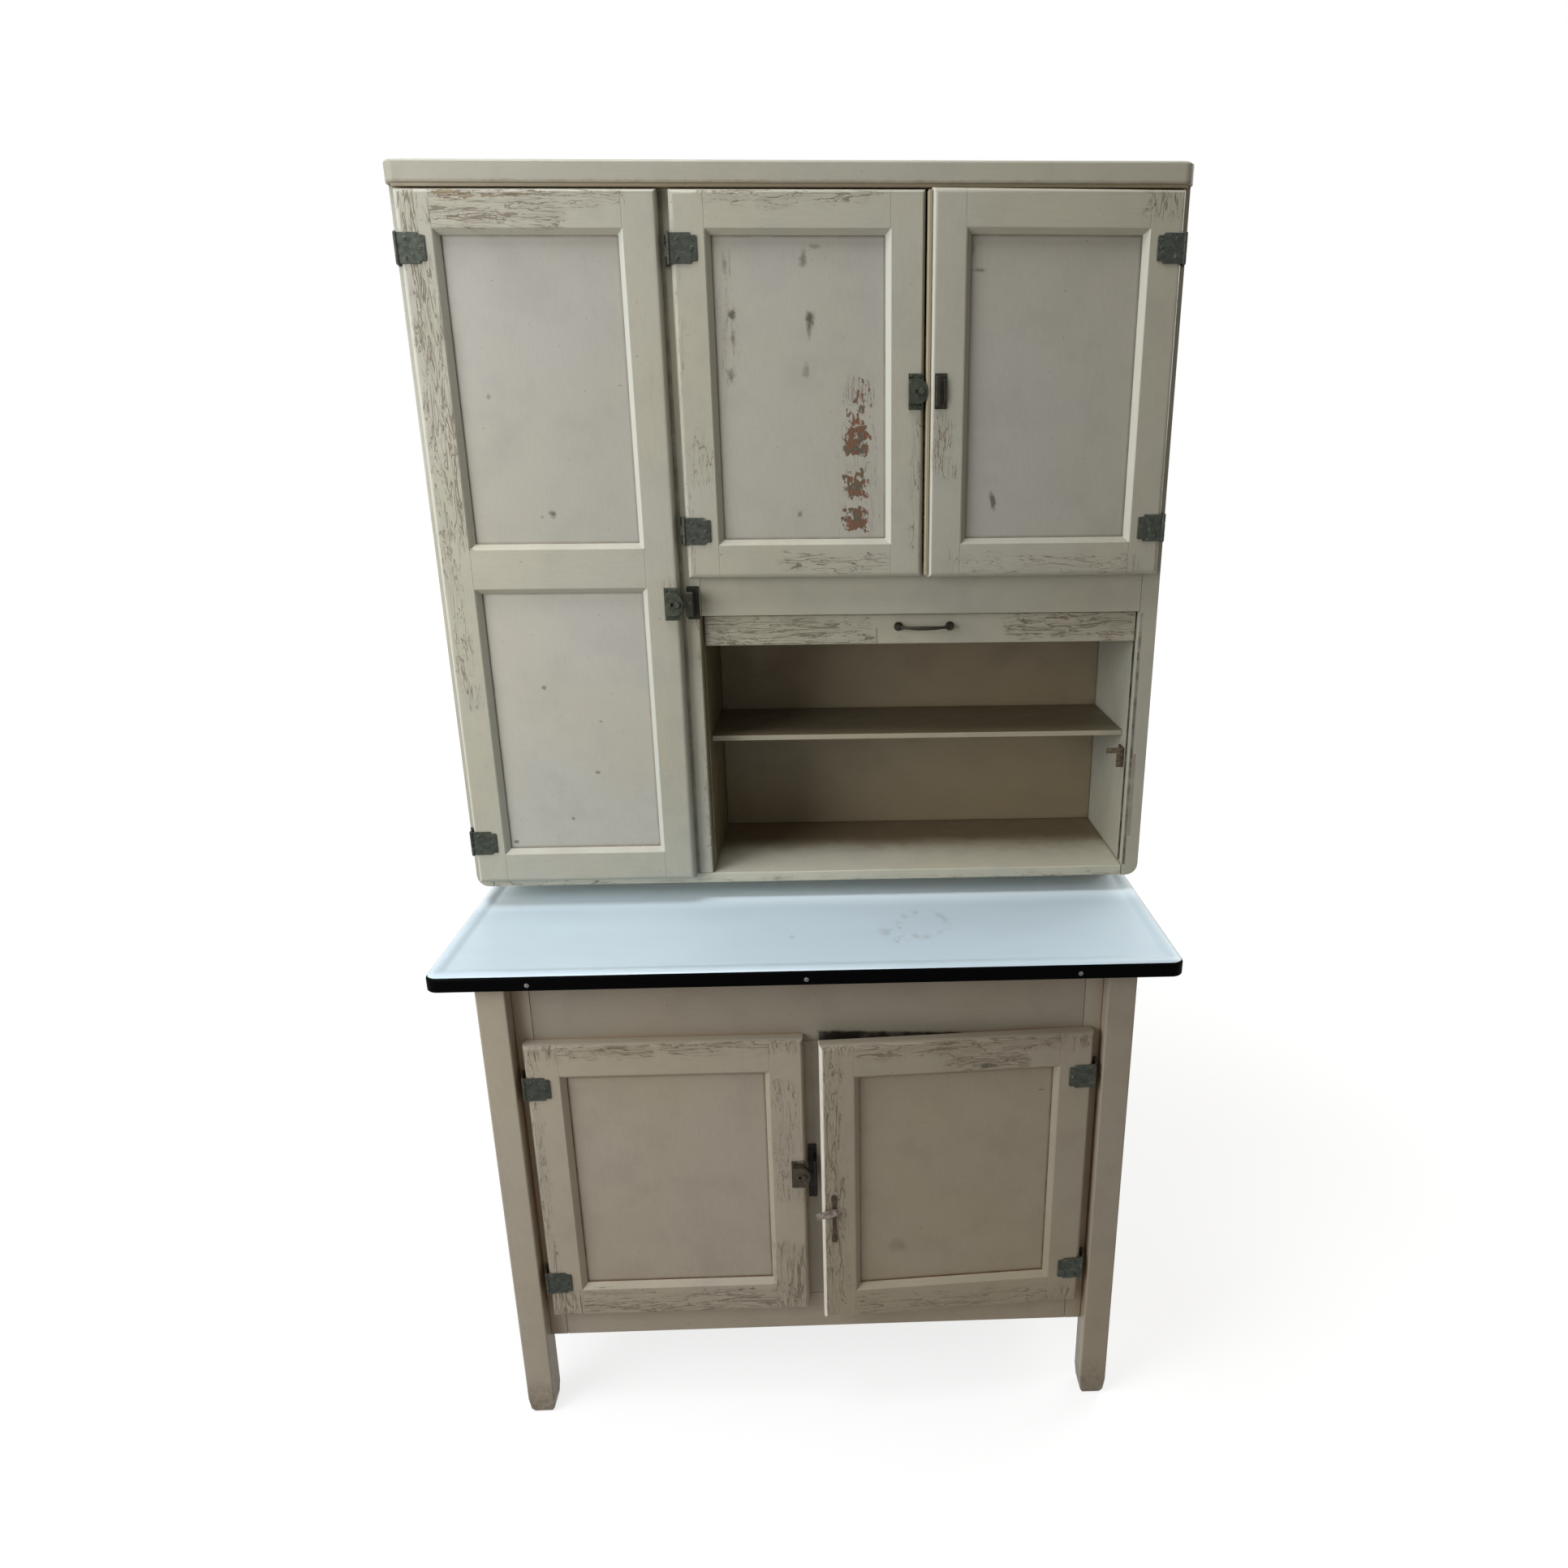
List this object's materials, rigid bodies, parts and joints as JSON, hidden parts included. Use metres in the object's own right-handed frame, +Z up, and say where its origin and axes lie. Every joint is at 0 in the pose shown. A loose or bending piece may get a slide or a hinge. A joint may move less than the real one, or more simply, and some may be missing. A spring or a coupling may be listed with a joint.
{
  "type": "bakers cabinet",
  "caption": "A freestanding baker's cabinet: painted legged base with doors, white enamelled worktop with a black rolled rim, and a hutch with panelled doors over a niche with a roll curtain.",
  "frame": {"origin": "on the floor, under the middle of the worktop", "axes": "+x to the viewer's right, +y to the wall behind, +z up; doors face -y"},
  "size_m": [1.016, 0.5502, 1.768],
  "materials": {
    "paint": "aged cream paint over wood, crazed and chipped",
    "inner_paint": "worn cream paint inside the cupboards",
    "bare_wood": "bare softwood",
    "enamel": "glossy white enamel on steel with a black rolled rim",
    "hinge_metal": "dark tarnished metal with worn paint",
    "latch_metal": "dark tarnished metal"
  },
  "bodies": {
    "cabinet": {"leg_front_left": "paint", "leg_rear_left": "paint", "leg_front_right": "paint", "leg_rear_right": "paint", "base_side_left": "paint", "base_side_right": "paint", "apron_rail": "paint", "base_bottom_rail": "paint", "base_centre_stile": "paint", "base_back": "paint", "hutch_side_left": "paint", "hutch_side_right": "paint", "hutch_floor": "paint", "hutch_partition": "paint", "hutch_crown": "paint", "header_rail": "paint", "cupboard_floor": "inner_paint", "niche_back": "inner_paint", "niche_shelf": "inner_paint", "cupboard_shelf": "inner_paint", "tall_shelf": "inner_paint", "base_floor": "bare_wood", "base_shelf": "bare_wood", "worktop_board": "bare_wood", "hutch_plinth": "bare_wood", "hutch_back": "bare_wood", "worktop_enamel": "enamel", "curtain_catch": "latch_metal"},
    "curtain": {"curtain_slats": "paint", "curtain_lift_rail": "paint", "curtain_handle": "latch_metal"},
    "tall_door": {"tall_door_frame": "paint", "tall_door_lower_panel": "paint", "tall_door_upper_panel": "paint", "tall_door_hinge_upper": "hinge_metal", "tall_door_hinge_lower": "hinge_metal", "tall_latch_case": "latch_metal"},
    "tall_latch_bolt": {"tall_latch_bolt": "latch_metal"},
    "middle_door": {"middle_door_frame": "paint", "middle_door_panel": "paint", "middle_door_hinge_upper": "hinge_metal", "middle_door_hinge_lower": "hinge_metal", "upper_latch_case": "latch_metal"},
    "upper_latch_bolt": {"upper_latch_bolt": "latch_metal"},
    "right_door": {"right_door_frame": "paint", "right_door_panel": "paint", "right_door_hinge_upper": "hinge_metal", "right_door_hinge_lower": "hinge_metal"},
    "base_left_door": {"base_left_door_frame": "paint", "base_left_door_panel": "paint", "base_left_door_hinge_upper": "hinge_metal", "base_left_door_hinge_lower": "hinge_metal", "base_latch_case": "latch_metal"},
    "base_latch_bolt": {"base_latch_bolt": "latch_metal"},
    "base_right_door": {"base_right_door_frame": "paint", "base_right_door_panel": "paint", "base_right_door_hinge_upper": "hinge_metal", "base_right_door_hinge_lower": "hinge_metal", "base_lever_plate": "latch_metal"},
    "base_lever": {"base_lever": "latch_metal"}
  },
  "joints": [
    {"name": "tall_door_hinge", "type": "hinge", "parent": "cabinet", "child": "tall_door", "pos_m": [-0.4975, -0.0516, 1.2727], "axis": [0, 0, -1], "range_deg": [0, 170]},
    {"name": "middle_door_hinge", "type": "hinge", "parent": "cabinet", "child": "middle_door", "pos_m": [-0.16, -0.0516, 1.496], "axis": [0, 0, -1], "range_deg": [0, 160]},
    {"name": "right_door_hinge", "type": "hinge", "parent": "cabinet", "child": "right_door", "pos_m": [0.4975, -0.0516, 1.496], "axis": [0, 0, 1], "range_deg": [-2, 168]},
    {"name": "base_left_door_hinge", "type": "hinge", "parent": "cabinet", "child": "base_left_door", "pos_m": [-0.4, -0.2486, 0.415], "axis": [0, 0, -1], "range_deg": [0, 150]},
    {"name": "base_right_door_hinge", "type": "hinge", "parent": "cabinet", "child": "base_right_door", "pos_m": [0.4, -0.2486, 0.415], "axis": [0, 0, 1], "range_deg": [-3, 147]},
    {"name": "curtain_slide", "type": "slide", "parent": "cabinet", "child": "curtain", "axis": [0, 0, 1], "range_m": [-0.3447, 0]},
    {"name": "tall_latch_slide", "type": "slide", "parent": "tall_door", "child": "tall_latch_bolt", "axis": [-1, 0, 0], "range_m": [0, 0.006], "stiffness_N_per_m": 300, "springref_m": -0.002},
    {"name": "upper_latch_slide", "type": "slide", "parent": "middle_door", "child": "upper_latch_bolt", "axis": [-1, 0, 0], "range_m": [0, 0.006], "stiffness_N_per_m": 300, "springref_m": -0.002},
    {"name": "base_latch_slide", "type": "slide", "parent": "base_left_door", "child": "base_latch_bolt", "axis": [-1, 0, 0], "range_m": [0, 0.006], "stiffness_N_per_m": 300, "springref_m": -0.002},
    {"name": "base_lever_turn", "type": "hinge", "parent": "base_right_door", "child": "base_lever", "pos_m": [0.0287, -0.2721, 0.3765], "axis": [-0.0523, 0.9986, 0], "range_deg": [0, 95]}
  ]
}
